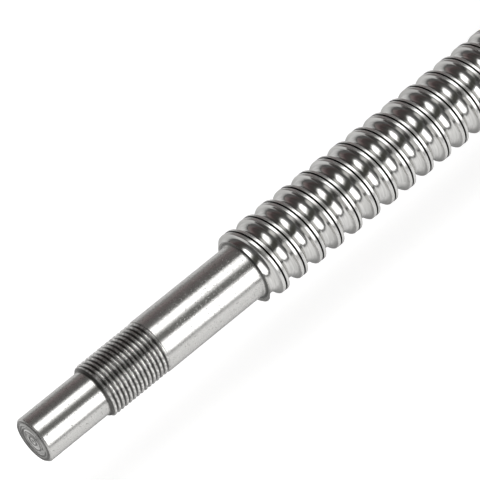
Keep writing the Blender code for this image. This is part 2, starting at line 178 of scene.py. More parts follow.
def ring(name, points, steps=FINE_STEPS):
    """A ring about X, from a closed outline of (x, radius) that stays off the axis."""
    count = len(points)
    verts = []
    for step in range(steps):
        verts += [around(x, radius, 360.0 * step / steps) for x, radius in points]
    faces = []
    for step in range(steps):
        here = step * count
        there = (step + 1) % steps * count
        for index in range(count):
            follow = (index + 1) % count
            faces.append((here + index, here + follow, there + follow, there + index))
    return object_from(name, verts, faces)


def prism(name, verts):
    """A prism. The first half of verts is the outline of one end, the second half of the other."""
    count = len(verts) // 2
    faces = [tuple(range(count)), tuple(range(2 * count - 1, count - 1, -1))]
    for index in range(count):
        follow = (index + 1) % count
        faces.append((index, follow, count + follow, count + index))
    return object_from(name, verts, faces)


def threaded_rod(name, pitch_points, lead, first, turns, steps):
    """A right-handed threaded rod along X, with a fan to the axis closing each end.

    pitch_points are (x, radius) over one pitch, without the point that starts the next pitch. The
    rod's surface is a grid of columns, one for each step round the axis.
    """
    per_pitch = len(pitch_points)
    column = [
        (first + turn * lead + x, radius) for turn in range(turns) for x, radius in pitch_points
    ]
    column.append((first + turns * lead + pitch_points[0][0], pitch_points[0][1]))
    rows = len(column)
    verts = []
    for step in range(steps):
        shift = lead * step / steps
        verts += [around(x + shift, radius, 360.0 * step / steps) for x, radius in column]
    faces = []
    for step in range(steps - 1):
        a, b = step * rows, (step + 1) * rows
        faces += [(a + i, a + i + 1, b + i + 1, b + i) for i in range(rows - 1)]
    last = (steps - 1) * rows
    for i in range(rows - 1 - per_pitch):
        faces.append((last + i, last + i + 1, i + 1 + per_pitch, i + per_pitch))
    # Each end's loop runs round the columns' ends, then back along one column for a pitch.
    low = [step * rows for step in range(steps)] + list(range(per_pitch, 0, -1))
    high = [step * rows + rows - 1 for step in range(steps)]
    high += [last + rows - 1 - back for back in range(1, per_pitch + 1)]
    for loop, x in ((low, first + lead / 2), (high, first + (turns + 0.5) * lead)):
        verts.append(Vector((x, 0.0, 0.0)))
        centre = len(verts) - 1
        faces += [(loop[i], loop[(i + 1) % len(loop)], centre) for i in range(len(loop))]
    return object_from(name, verts, faces)


def carve(target, operation, *tools):
    """Boolean of the target with each tool, which is then removed."""
    for tool in tools:
        boolean = target.modifiers.new(operation.lower(), "BOOLEAN")
        boolean.operation = operation
        boolean.solver = "MANIFOLD"
        boolean.object = tool
    graph = bpy.context.evaluated_depsgraph_get()
    mesh = bpy.data.meshes.new_from_object(target.evaluated_get(graph))
    target.modifiers.clear()
    target.data = mesh
    for tool in tools:
        bpy.data.objects.remove(tool)
    return target


def transformed(obj, matrix):
    """The same object, with its mesh moved or scaled in place."""
    obj.data.transform(matrix)
    return obj


def radial(obj, x, angle):
    """Turns an object made along +X so that its X coordinate becomes a distance from the axis."""
    outward = around(0.0, 1.0, angle)
    side = outward.cross(Vector((1.0, 0.0, 0.0)))
    turn = Matrix((outward, side, outward.cross(side))).transposed().to_4x4()
    return transformed(obj, Matrix.Translation((x, 0.0, 0.0)) @ turn)


def finish_piece(obj, name, material, body, slot, *nodes, sharp=32.0):
    """Scales a finished mesh to metres, shades it and hands it to the frame."""
    transformed(obj, Matrix.Scale(MM, 4))
    obj.name = name
    obj.data.name = name
    obj.data.materials.clear()
    obj.data.materials.append(material)
    obj.data.shade_smooth()
    obj.data.set_sharp_from_angle(angle=math.radians(sharp))
    normals = obj.modifiers.new("weighted_normals", "WEIGHTED_NORMAL")
    normals.keep_sharp = True
    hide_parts(*nodes)
    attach(obj, body)
    return obj


# ---------------------------------------------------------------- shaft


def arc(centre, radius, start, end, steps):
    """Points round a centre. Angles are from straight up, positive towards +x."""
    points = []
    for step in range(steps + 1):
        turn = math.radians(start + (end - start) * step / steps)
        points.append((centre[0] + radius * math.sin(turn), centre[1] + radius * math.cos(turn)))
    return points


def shaft_pitch():
    """One pitch of the rolled ball thread, from groove centre to groove centre."""
    rise = BALL_CIRCLE_R - SCREW_R + LAND_EDGE_R
    reach = math.sqrt((SHAFT_GROOVE_R + LAND_EDGE_R) ** 2 - rise**2)
    lean = math.degrees(math.atan2(reach, rise))
    middle = LEAD / 2
    wall = arc((0.0, BALL_CIRCLE_R), SHAFT_GROOVE_R, 180.0, 180.0 - lean, 7)
    edge = arc((reach, SCREW_R - LAND_EDGE_R), LAND_EDGE_R, -lean, 0.0, 4)
    seam = [
        (middle - SEAM_HALF - 0.03, SCREW_R),
        (middle - SEAM_HALF, SCREW_R - 0.03),
        (middle - 0.65 * SEAM_HALF, SCREW_R - 0.8 * SEAM_DEPTH),
    ]
    half = wall + edge[1:] + seam
    bottom = [(middle, SCREW_R - SEAM_DEPTH)]
    mirrored = [(LEAD - x, radius) for x, radius in reversed(half)]
    return half + bottom + mirrored[:-1]


def shoulder_profile():
    """The fillet up from the bearing journal, the shoulder and its small chamfer."""
    centre = (SHOULDER_X - SHOULDER_FILLET, BEARING_R + SHOULDER_FILLET)
    fillet = arc(centre, SHOULDER_FILLET, 165.0, 90.0, 5)
    return [
        (centre[0] - 0.05, BEARING_R - 0.05),
        *fillet,
        (SHOULDER_X, SCREW_R - SHOULDER_CHAMFER),
        (SHOULDER_X + SHOULDER_CHAMFER + CUT_PAST, SCREW_R + CUT_PAST),
    ]


def ball_thread():
    """The rolled thread, cut to length by the shoulder at one end and a lead-in at the other."""
    spare = 2
    turns = int(BALL_THREAD_LENGTH / LEAD) + 2 * spare
    first = GROOVE_X - spare * LEAD
    thread = threaded_rod("ball_thread", shaft_pitch(), LEAD, first, turns, SHAFT_STEPS)
    slope = LEAD_IN_LENGTH / (SCREW_R - LEAD_IN_R)
    reach = LEAD_IN_LENGTH + slope * CUT_PAST
    end = BALL_THREAD_LENGTH
    envelope = lathe(
        "envelope",
        [
            (SHOULDER_X - SHOULDER_FILLET - 0.05, 0.0),
            *shoulder_profile(),
            (end - reach, SCREW_R + CUT_PAST),
            (end, LEAD_IN_R),
            (end, 0.0),
        ],
    )
    return carve(thread, "INTERSECT", envelope)


def lock_pitch():
    """One pitch of the fine locknut thread, from root to root, with a narrow flat crest."""
    return [
        (0.0, LOCK_ROOT_R),
        (0.11, LOCK_ROOT_R + 0.03),
        (0.42, LOCK_CREST_R - 0.03),
        (0.46, LOCK_CREST_R),
        (0.54, LOCK_CREST_R),
        (0.58, LOCK_CREST_R - 0.03),
        (0.89, LOCK_ROOT_R + 0.03),
    ]


def lock_thread():
    """The locknut thread, with a chamfered start."""
    end = -BEARING_LENGTH
    start = end - LOCK_THREAD_LENGTH
    turns = int(LOCK_THREAD_LENGTH / LOCK_PITCH) + 4
    first = start - 2.0 * LOCK_PITCH
    thread = threaded_rod("lock_thread", lock_pitch(), LOCK_PITCH, first, turns, SHAFT_STEPS)
    envelope = lathe(
        "lock_envelope",
        [
            (start + 0.1, 0.0),
            (start + 0.1, DRIVE_R + 0.1),
            (start + 1.0, LOCK_CREST_R + 0.1),
            (end + CUT_PAST, LOCK_CREST_R + 0.1),
            (end + CUT_PAST, 0.0),
        ],
    )
    return carve(thread, "INTERSECT", envelope)


def facing_marks(x, rim):
    """The rings that a facing tool leaves in an end, from the small pip at its centre outwards."""
    pip_r, pip_foot_r, pip_x = 0.22, 0.34, x + 0.02
    points = [(pip_x, 0.0), (pip_x, pip_r), (x + FACING_DEPTH, pip_foot_r)]
    radius = pip_foot_r + FACING_PITCH / 2
    while radius + FACING_PITCH / 2 < rim:
        points += [(x, radius), (x + FACING_DEPTH, radius + FACING_PITCH / 2)]
        radius += FACING_PITCH
    return points


def drive_end():
    """The drive journal, the core of the locknut thread and the bearing journal."""
    end = -(BEARING_LENGTH + LOCK_THREAD_LENGTH + DRIVE_LENGTH)
    lock_start = end + DRIVE_LENGTH
    bearing_start = lock_start + LOCK_THREAD_LENGTH
    soft = CHAMFER_SOFTNESS
    return lathe(
        "drive_end",
        [
            *facing_marks(end, DRIVE_R - CHAMFER - 0.15),
            (end, DRIVE_R - CHAMFER - soft),
            (end + 0.3 * soft, DRIVE_R - CHAMFER),
            (end + CHAMFER, DRIVE_R - 0.3 * soft),
            (end + CHAMFER + soft, DRIVE_R),
            (lock_start, DRIVE_R),
            (lock_start, LOCK_CORE_R),
            (bearing_start, LOCK_CORE_R),
            (bearing_start, BEARING_R - 0.1),
            (bearing_start + 0.1, BEARING_R),
            (CORE_OVERLAP, BEARING_R),
            (CORE_OVERLAP, 0.0),
        ],
    )


def support_end():
    """The journal for the far bearing, with its circlip groove."""
    start = BALL_THREAD_LENGTH
    end = start + SUPPORT_LENGTH
    groove_far = start + CLIP_GROOVE_FAR
    groove_near = groove_far - CLIP_GROOVE_WIDTH
    soft = CHAMFER_SOFTNESS
    return lathe(
        "support_end",
        [
            (start - CORE_OVERLAP, 0.0),
            (start - CORE_OVERLAP, SUPPORT_R),
            (groove_near - 0.05, SUPPORT_R),
            (groove_near, SUPPORT_R - 0.05),
            (groove_near, CLIP_GROOVE_R),
            (groove_far, CLIP_GROOVE_R),
            (groove_far, SUPPORT_R - 0.05),
            (groove_far + 0.05, SUPPORT_R),
            (end - CHAMFER - soft, SUPPORT_R),
            (end - CHAMFER, SUPPORT_R - 0.3 * soft),
            (end - 0.3 * soft, SUPPORT_R - CHAMFER),
            (end, SUPPORT_R - CHAMFER - soft),
            (end, 0.0),
        ],
    )


def build_shaft(rolled, ground):
    """The whole bar. Its ball thread has the first material, and its machined ends the second."""
    shaft = carve(ball_thread(), "UNION", drive_end(), lock_thread(), support_end())
    finish_piece(shaft, "screw_visual", rolled, "screw", SCREW_SLOT, "screw_shaft")
    shaft.data.materials.append(ground)
    low, high = (SHOULDER_X + 0.01) * MM, (BALL_THREAD_LENGTH - 0.01) * MM
    for face in shaft.data.polygons:
        face.material_index = 0 if low < face.center.x < high else 1
    return shaft


# ---------------------------------------------------------------- nut


def nut_blank():
    """Flange with its two flats, and the barrel behind it."""
    flange_end = NUT_X + FLANGE_THICKNESS
    end = NUT_X + NUT_LENGTH
    bevel = NUT_BEVEL
    undercut_r = BARREL_R - 0.25
    flange = lathe(
        "nut_visual",
        [
            (NUT_X, 0.0),
            (NUT_X, FLANGE_R - bevel),
            (NUT_X + bevel, FLANGE_R),
            (flange_end - bevel, FLANGE_R),
            (flange_end, FLANGE_R - bevel),
            (flange_end, 0.0),
        ],
        steps=192,
    )
    carve(flange, "INTERSECT", flats_prism(bevel))
    barrel = lathe(
        "barrel",
        [
            (flange_end - 2.0, 0.0),
            (flange_end - 2.0, BARREL_R),
            (flange_end + 1.2, BARREL_R),
            (flange_end + 1.2, undercut_r),
            (flange_end + 2.2, undercut_r),
            (flange_end + 2.2, BARREL_R),
            (end - bevel, BARREL_R),
            (end, BARREL_R - bevel),
            (end, 0.0),
        ],
        steps=160,
    )
    return carve(flange, "UNION", barrel)


def flats_prism(bevel):
    """A prism between the flange's flats, with its edges chamfered."""
    low, high = NUT_X - 1.0, NUT_X + FLANGE_THICKNESS + 1.0
    section = [
        (low, -FLANGE_FLAT + bevel + 1.0),
        (NUT_X + bevel, -FLANGE_FLAT),
        (high - 1.0 - bevel, -FLANGE_FLAT),
        (high, -FLANGE_FLAT + bevel + 1.0),
        (high, FLANGE_FLAT - bevel - 1.0),
        (high - 1.0 - bevel, FLANGE_FLAT),
        (NUT_X + bevel, FLANGE_FLAT),
        (low, FLANGE_FLAT - bevel - 1.0),
    ]
    wide = FLANGE_R + 2.0
    return prism("flats_prism", [Vector((x, y, z)) for y in (-wide, wide) for x, z in section])


def drill(name, radius, low, high, mouth, ends=(True, True), steps=32):
    """A drill along X from low to high with a chamfer's cone at each open end."""
    past = 1.0
    points = [(low - past, 0.0)]
    if ends[0]:
        points += [(low - past, radius + mouth + past), (low + mouth, radius)]
    else:
        points += [(low - past, radius)]
    if ends[1]:
        points += [(high - mouth, radius), (high + past, radius + mouth + past)]
    else:
        points += [(high + past, radius)]
    points.append((high + past, 0.0))
    return lathe(name, points, steps)


def bolt_holes():
    """One drill for each of the flange's bolt holes."""
    for angle in BOLT_ANGLES:
        hole = drill("bolt_hole", BOLT_HOLE_R, NUT_X, NUT_X + FLANGE_THICKNESS, 0.35, steps=48)
        yield transformed(hole, Matrix.Translation(around(0.0, BOLT_CIRCLE_R, angle)))


def counterbore(low, high, mouth_low, mouth_high):
    """A drill for the seat of one wiper ring."""
    return drill("counterbore", COUNTERBORE_R, low, high, 0.3, (mouth_low, mouth_high), FINE_STEPS)


def nut_pitch():
    """One pitch of the space inside the nut's thread, from groove centre to groove centre."""
    rise = NUT_BORE_R - BALL_CIRCLE_R
    lean = math.degrees(math.acos(rise / NUT_GROOVE_R))
    half = arc((0.0, BALL_CIRCLE_R), NUT_GROOVE_R, 0.0, lean, 6)
    mirrored = [(LEAD - x, radius) for x, radius in reversed(half)]
    return half + mirrored[:-1]


def thread_tap():
    """The space inside the nut's ball thread, a little past both of its ends."""
    first = GROOVE_X + int(NUT_X / LEAD) * LEAD
    turns = int(NUT_LENGTH / LEAD) + 3
    return threaded_rod("thread_tap", nut_pitch(), LEAD, first, turns, NUT_STEPS)


def insert_windows():
    """Prisms with round-ended outlines, one for each return insert."""
    straight = INSERT_HALF_LENGTH - INSERT_HALF_WIDTH
    half_width = INSERT_HALF_WIDTH + INSERT_GAP
    outline = []
    for end, start_angle in ((1, -90.0), (-1, 90.0)):
        for step in range(WINDOW_STEPS + 1):
            turn = math.radians(start_angle + 180.0 * step / WINDOW_STEPS)
            u = end * straight + half_width * math.cos(turn)
            outline.append((u, half_width * math.sin(turn)))
    advance = LEAD / 2 - LEAD * RETURN_HALF_ANGLE / 360.0
    chord = BALL_CIRCLE_R * math.sin(math.radians(RETURN_HALF_ANGLE))
    for index in range(CIRCUITS):
        angle = FIRST_INSERT_ANGLE + index * INSERT_STEP_ANGLE
        x_mid = GROOVE_X + LEAD * (angle / 360.0 + FIRST_INSERT_TURN + index + 0.5)
        outward = around(0.0, 1.0, angle)
        tangent = around(0.0, 1.0, angle + 90.0)
        along = (tangent * chord - Vector((advance, 0.0, 0.0))).normalized()
        across = outward.cross(along)
        verts = [
            Vector((x_mid, 0.0, 0.0)) + along * u + across * v + outward * height
            for height in (WINDOW_LOW, WINDOW_HIGH)
            for u, v in outline
        ]
        yield prism("insert_window", verts)


def set_screw_places():
    """CAD node, axial place, angle and the radius of the outer end of each wiper grub screw."""
    ring_middle = WIPER_INSET + WIPER_THICKNESS / 2
    barrel_x = NUT_X + NUT_LENGTH - ring_middle
    return (
        ("set_screw_flange", NUT_X + ring_middle, 270.0, FLANGE_SET_TOP),
        ("set_screw_barrel_1", barrel_x, 0.0, BARREL_SET_TOP),
        ("set_screw_barrel_2", barrel_x, 180.0, BARREL_SET_TOP),
    )


def build_nut(material):
    """The nut's body with all its holes."""
    nut = nut_blank()
    end = NUT_X + NUT_LENGTH
    carve(
        nut,
        "DIFFERENCE",
        counterbore(NUT_X, NUT_X + COUNTERBORE_DEPTH - 1.0, True, False),
        counterbore(end - COUNTERBORE_DEPTH + 1.0, end, False, True),
        thread_tap(),
        *bolt_holes(),
    )
    lube_hole = drill("lube_hole", LUBE_HOLE_R, 8.0, FLANGE_FLAT, 0.4, (False, True))
    holes = [radial(lube_hole, LUBE_X, LUBE_ANGLE)]
    for _, x, angle, top in set_screw_places():
        surface = FLANGE_FLAT if top > BARREL_R else BARREL_R - 0.05
        hole = drill("set_hole", SET_HOLE_R, 11.0, surface, 0.2, (False, True), 24)
        holes.append(radial(hole, x, angle))
    carve(nut, "DIFFERENCE", *holes, *insert_windows())
    return finish_piece(nut, "nut_visual", material, "nut", "ground_nut_steel", "nut_body")


def build_wipers(material):
    """The two wiper rings, each with a grooved rim and a stepped outer face."""
    end = NUT_X + NUT_LENGTH
    for node, first, outward in (
        ("wiper_ring_flange_end", NUT_X + WIPER_INSET, -1),
        ("wiper_ring_barrel_end", end - WIPER_INSET - WIPER_THICKNESS, 1),
    ):
        last = first + WIPER_THICKNESS
        middle = (first + last) / 2
        face = first if outward < 0 else last
        inner = last if outward < 0 else first
        back = -outward
        outline = [
            (inner, WIPER_BORE_R + 0.9),
            (inner, WIPER_R - 0.3),
            (inner - 0.3 * back, WIPER_R),
            (middle + WIPER_GROOVE_HALF * back, WIPER_R),
            (middle + WIPER_GROOVE_HALF * back, WIPER_GROOVE_R),
            (middle - WIPER_GROOVE_HALF * back, WIPER_GROOVE_R),
            (middle - WIPER_GROOVE_HALF * back, WIPER_R),
            (face + 0.3 * back, WIPER_R),
            (face + 0.08 * back, WIPER_R - 0.08),
            (face, WIPER_R - 0.3),
            (face, 10.4),
            (face + 0.06 * back, 10.3),
            (face + 0.45 * back, 10.2),
            (face + 0.45 * back, 9.3),
            (face + 0.06 * back, 9.2),
            (face, 9.1),
            (face, WIPER_BORE_R + 0.35),
            (face + 0.1 * back, WIPER_BORE_R + 0.1),
            (face + 0.35 * back, WIPER_BORE_R),
            (face + 2.2 * back, WIPER_BORE_R),
        ]
        piece = ring(node + "_visual", outline)
        finish_piece(piece, node + "_visual", material, "wipers", "wiper_plastic", node)


def grub_pitch(radius, pitch):
    """One pitch of a screw's thread, from root to root."""
    root = radius - 0.5 * pitch
    return [
        (0.0, root),
        (0.08 * pitch, root),
        (0.44 * pitch, radius),
        (0.56 * pitch, radius),
        (0.92 * pitch, root),
    ]


def hex_socket(radius, low, high):
    """The space of a hexagon socket, with the cone that a drill leaves at its bottom."""
    points = [(low - 0.5 * radius, 0.0), (low, radius), (high, radius), (high, 0.0)]
    return lathe("socket", points, 6)


def grub_screw(radius, pitch, low, top, socket_r, socket_depth):
    """A headless screw along +X with a hexagon socket in its outer end."""
    turns = int((top - low) / pitch) + 4
    first = low - 2.0 * pitch
    screw = threaded_rod("grub", grub_pitch(radius, pitch), pitch, first, turns, 32)
    root = radius - 0.5 * pitch
    envelope = lathe(
        "grub_envelope",
        [
            (low, 0.0),
            (low, root - 0.05),
            (low + 0.5 * pitch + 0.1, radius + 0.05),
            (top - 0.5 * pitch, radius + 0.05),
            (top, root),
            (top, 0.0),
        ],
        48,
    )
    carve(screw, "INTERSECT", envelope)
    cone = lathe(
        "socket_mouth",
        [
            (top - 0.25, 0.0),
            (top - 0.25, socket_r - 0.15),
            (top + 0.15, socket_r + 0.25),
            (top + 0.15, 0.0),
        ],
        32,
    )
    return carve(screw, "DIFFERENCE", hex_socket(socket_r, top - socket_depth, top + 1.0), cone)


def build_grub_screws(black, zinc):
    """The three screws that hold the wiper rings by their points, and the lubrication plug."""
    for node, x, angle, top in set_screw_places():
        screw = grub_screw(SET_SCREW_R, SET_PITCH, DOG_END, top, SET_SOCKET_R, SET_SOCKET_DEPTH)
        dog = lathe(
            "dog",
            [
                (DOG_START, 0.0),
                (DOG_START, DOG_R - 0.12),
                (DOG_START + 0.12, DOG_R),
                (DOG_END + 0.4, DOG_R),
                (DOG_END + 0.4, 0.0),
            ],
            32,
        )
        carve(screw, "UNION", dog)
        radial(screw, x, angle)
        finish_piece(screw, node + "_visual", black, "nut", "black_oxide_steel", node)
    plug = grub_screw(
        LUBE_PLUG_R, LUBE_PITCH, LUBE_PLUG_LOW, LUBE_PLUG_TOP, LUBE_SOCKET_R, LUBE_SOCKET_DEPTH
    )
    radial(plug, LUBE_X, LUBE_ANGLE)
    finish_piece(plug, "lube_plug_visual", zinc, "nut", "zinc_plated_steel", "lube_plug")


# ---------------------------------------------------------------- materials


class Nodes:
    """Short calls for building one material's node tree."""

    def __init__(self, name):
        self.material = bpy.data.materials.new(name)
        self.material.use_nodes = True
        self.tree = self.material.node_tree
        self.shader = self.tree.nodes["Principled BSDF"]

    def put(self, socket, value):
        if isinstance(value, bpy.types.NodeSocket):
            self.tree.links.new(value, socket)
        elif value is not None:
            socket.default_value = value

    def math(self, operation, a, b=None, c=None):
        node = self.tree.nodes.new("ShaderNodeMath")
        node.operation = operation
        for socket, value in zip(node.inputs, (a, b, c)):
            self.put(socket, value)
        return node.outputs[0]

    def spread(self, value, low, high, to_low, to_high, smooth=True):
        """Maps low..high to to_low..to_high, held at its ends."""
        node = self.tree.nodes.new("ShaderNodeMapRange")
        node.interpolation_type = "SMOOTHSTEP" if smooth else "LINEAR"
        for socket, number in zip(node.inputs, (value, low, high, to_low, to_high)):
            self.put(socket, number)
        return node.outputs[0]

    def join(self, x, y, z):
        node = self.tree.nodes.new("ShaderNodeCombineXYZ")
        for socket, value in zip(node.inputs, (x, y, z)):
            self.put(socket, value)
        return node.outputs[0]

    def noise(self, vector, scale, detail=2.0, roughness=0.5):
        node = self.tree.nodes.new("ShaderNodeTexNoise")
        self.put(node.inputs["Vector"], vector)
        node.inputs["Scale"].default_value = scale
        node.inputs["Detail"].default_value = detail
        node.inputs["Roughness"].default_value = roughness
        return node.outputs[0]

    def mix(self, share, first, second):
        node = self.tree.nodes.new("ShaderNodeMix")
        node.data_type = "RGBA"
        self.put(node.inputs["Factor"], share)
        for socket, value in zip((node.inputs[6], node.inputs[7]), (first, second)):
            self.put(socket, (*value, 1.0) if isinstance(value, tuple) else value)
        return node.outputs[2]

    def bump(self, height, distance_mm, before=None):
        node = self.tree.nodes.new("ShaderNodeBump")
        node.inputs["Strength"].default_value = 1.0
        node.inputs["Distance"].default_value = distance_mm * MM
        self.put(node.inputs["Height"], height)
        self.put(node.inputs["Normal"], before)
        return node.outputs[0]

    def position(self):
        """(position in mm, x, radius, angle in turns) in the CAD frame."""
        coordinates = self.tree.nodes.new("ShaderNodeTexCoord")
        scaled = self.tree.nodes.new("ShaderNodeVectorMath")
        scaled.operation = "SCALE"
        self.tree.links.new(coordinates.outputs["Object"], scaled.inputs[0])
        scaled.inputs["Scale"].default_value = 1.0 / MM
        split = self.tree.nodes.new("ShaderNodeSeparateXYZ")
        self.tree.links.new(scaled.outputs[0], split.inputs[0])
        x, y, z = split.outputs
        squares = self.math("ADD", self.math("MULTIPLY", y, y), self.math("MULTIPLY", z, z))
        radius = self.math("SQRT", squares)
        turn = self.math("DIVIDE", self.math("ARCTAN2", z, y), 2.0 * math.pi)
        return scaled.outputs[0], x, radius, turn

    def finish(self, colour, metallic, roughness, normal=None, **others):
        for name, value in (
            ("Base Color", (*colour, 1.0) if isinstance(colour, tuple) else colour),
            ("Metallic", metallic),
            ("Roughness", roughness),
            ("Normal", normal),
            *others.items(),
        ):
            self.put(self.shader.inputs[name.replace("_", " ")], value)
        return self.material


def turning_marks(nodes, x, radius, turn, density):
    """Fine lines round the axis, which vary with x along a journal and with radius on a face."""
    across = nodes.math("MULTIPLY", nodes.math("ADD", x, radius), density)
    along = nodes.math("MULTIPLY", turn, density)
    return nodes.noise(nodes.join(across, along, 0.0), 1.0, detail=3.0, roughness=0.7)


def rolled_steel():
    """The rolled and polished ball thread, with painted shade colouring the seam along the middle
    of its land near black.
    """
    n = Nodes("rolled_thread_look")
    place, x, radius, turn = n.position()
    end = BALL_THREAD_LENGTH
    on_thread = n.math(
        "MULTIPLY",
        n.spread(x, 0.1, 0.4, 0.0, 1.0),
        n.spread(x, end - 0.4, end - 0.1, 1.0, 0.0),
    )
    # Place across one pitch, from 0 to 1: the groove's centre is at 0.5, and the seam at 0 and 1.
    in_pitch = n.math("DIVIDE", n.math("SUBTRACT", x, GROOVE_X), LEAD)
    in_pitch = n.math("FRACT", n.math("ADD", n.math("SUBTRACT", in_pitch, turn), 0.5))
    from_seam = n.math("ABSOLUTE", n.math("SUBTRACT", in_pitch, 0.5))
    from_seam = n.math("MULTIPLY", n.math("SUBTRACT", 0.5, from_seam), LEAD)
    seam = n.spread(from_seam, SEAM_HALF - 0.02, SEAM_HALF + 0.04, 1.0, 0.0)
    seam = n.math("MULTIPLY", seam, on_thread)
    on_land = n.spread(radius, SCREW_R - 0.1, SCREW_R - 0.02, 0.0, 1.0)

    mottle = n.noise(place, 1.1, detail=4.0, roughness=0.6)
    grain = n.noise(place, 2.6, detail=3.0)
    streaks = n.join(n.math("MULTIPLY", in_pitch, LEAD * 4.0), n.math("MULTIPLY", turn, 5.0), x)
    streaks = n.noise(streaks, 1.0, detail=2.0)

    streaked = n.spread(streaks, 0.3, 0.7, 0.0, 1.0)
    steel = n.mix(streaked, (0.55, 0.545, 0.53), (0.68, 0.675, 0.66))
    # Painted shade: the seam's recess is coloured near black, as shade falls in it; the seam is
    # also rougher.
    colour = n.mix(seam, steel, (0.010, 0.010, 0.009))
    rough = n.spread(mottle, 0.3, 0.7, 0.07, 0.13)
    rough = n.math("ADD", rough, n.math("MULTIPLY", on_land, 0.12))
    rough = n.math("ADD", rough, n.math("MULTIPLY", seam, 0.5))
    metal = n.math("SUBTRACT", 1.0, n.math("MULTIPLY", on_land, 0.24))
    bumps = n.bump(streaks, 0.030)
    bumps = n.bump(mottle, 0.016, bumps)
    bumps = n.bump(grain, 0.006, bumps)
    return n.finish(colour, metal, rough, bumps)


def journal_steel():
    """The machined ends: ground round the axis, with a rougher locknut thread and faced end."""
    n = Nodes("ground_journal_look")
    place, x, radius, turn = n.position()
    lock_end = -BEARING_LENGTH
    lock_start = lock_end - LOCK_THREAD_LENGTH
    in_lock = n.math(
        "MULTIPLY",
        n.spread(x, lock_start - 0.05, lock_start + 0.05, 0.0, 1.0, False),
        n.spread(x, lock_end - 0.05, lock_end + 0.05, 1.0, 0.0, False),
    )
    drive_face = lock_start - DRIVE_LENGTH
    on_face = n.spread(x, drive_face + FACING_DEPTH, drive_face + FACING_DEPTH + 0.05, 1.0, 0.0)
    mottle = n.noise(place, 0.9, detail=4.0, roughness=0.6)
    grain = n.noise(place, 2.6, detail=4.0, roughness=0.7)
    lines = turning_marks(n, x, radius, turn, 6.0)
    rings = n.noise(n.join(n.math("MULTIPLY", radius, 2.2), turn, 0.0), 1.0, detail=4.0)
    rings = n.spread(rings, 0.42, 0.58, 0.0, 1.0)
    on_bearing = n.spread(x, lock_end - 1.0, lock_end + 6.0, 0.15, 1.0)
    specks = n.spread(n.noise(place, 3.0, detail=2.0), 0.62, 0.70, 0.0, 1.0)

    steel = n.mix(mottle, (0.58, 0.575, 0.56), (0.64, 0.635, 0.62))
    steel = n.mix(n.math("MULTIPLY", specks, 0.6), steel, (0.12, 0.12, 0.11))
    # Painted shade: the locknut thread is coloured dark towards its roots, between the crests.
    high = n.spread(radius, LOCK_ROOT_R + 0.08, LOCK_CREST_R - 0.15, 0.0, 1.0)
    blotch = n.spread(n.noise(place, 1.6, detail=3.0), 0.35, 0.65, 0.0, 1.0)
    thread = n.mix(blotch, (0.50, 0.495, 0.485), (0.92, 0.91, 0.89))
    thread = n.mix(high, (0.11, 0.108, 0.104), thread)
    face = n.mix(rings, (0.24, 0.235, 0.23), (0.92, 0.915, 0.90))
    # Painted shade: the faced end is coloured darker towards its rim, with its centre left bright.
    face = n.mix(n.spread(radius, 2.4, 4.4, 0.0, 0.55), face, (0.10, 0.098, 0.094))
    # Painted shade in the concave fillet at the bearing shoulder: coloured dark, darkest down by
    # the journal.
    fillet_shade = n.math(
        "MULTIPLY",
        n.spread(x, SHOULDER_X - 0.45, SHOULDER_X - 0.15, 0.0, 1.0),
        n.spread(radius, BEARING_R + 0.5, BEARING_R + 0.8, 1.0, 0.35),
    )
    before_thread = n.spread(x, SHOULDER_X + 0.3, SHOULDER_X + 0.5, 1.0, 0.0)
    fillet_shade = n.math("MULTIPLY", fillet_shade, before_thread)
    colour = n.mix(in_lock, steel, thread)
    colour = n.mix(n.math("MULTIPLY", fillet_shade, 0.85), colour, (0.06, 0.06, 0.055))
    colour = n.mix(on_face, colour, face)
    rough = n.spread(mottle, 0.3, 0.7, 0.24, 0.32)
    rough = n.math("ADD", rough, n.math("MULTIPLY", specks, 0.2))
    metal = n.spread(in_lock, 0.0, 1.0, 0.88, 0.93)
    metal = n.math("MAXIMUM", metal, n.spread(on_face, 0.0, 1.0, 0.88, 0.9))
    bumps = n.bump(lines, 0.0030)
    bumps = n.bump(mottle, 0.010, bumps)
    bumps = n.bump(grain, 0.008, bumps)
    bumps = n.bump(n.math("MULTIPLY", specks, on_bearing), 0.016, bumps)
    tangent = n.tree.nodes.new("ShaderNodeTangent")
    tangent.direction_type = "RADIAL"
    tangent.axis = "X"
    n.put(n.shader.inputs["Tangent"], tangent.outputs[0])
    n.shader.inputs["Anisotropic"].default_value = 0.95
    n.shader.inputs["Anisotropic Rotation"].default_value = 0.25
    return n.finish(colour, metal, rough, bumps)


def ground_steel():
    """The nut: fine grinding lines round its axis."""
    n = Nodes("ground_nut_steel_look")
    place, x, radius, turn = n.position()
    cloud = n.noise(place, 0.35, detail=4.0, roughness=0.6)
    lines = turning_marks(n, x, radius, turn, 9.0)
    colour = n.mix(cloud, (0.50, 0.495, 0.485), (0.60, 0.595, 0.58))
    rough = n.math("ADD", n.spread(cloud, 0.3, 0.7, 0.18, 0.25), n.math("MULTIPLY", lines, 0.08))
    bumps = n.bump(lines, 0.004)
    bumps = n.bump(cloud, 0.006, bumps)
    return n.finish(colour, 0.94, rough, bumps)


def satin_metal(name, dark, light, roughness, grain_scale, grain_mm):
    """Cloudy metal with a fine grain: its two colours, its roughness, and its grain's depth."""
    n = Nodes(name)
    place, _, _, _ = n.position()
    cloud = n.noise(place, 0.9, detail=4.0)
    grain = n.noise(place, grain_scale, detail=3.0, roughness=0.65)
    colour = n.mix(cloud, dark, light)
    rough = n.spread(grain, 0.3, 0.7, roughness - 0.06, roughness + 0.08)
    return n.finish(colour, 1.0, rough, n.bump(grain, grain_mm))


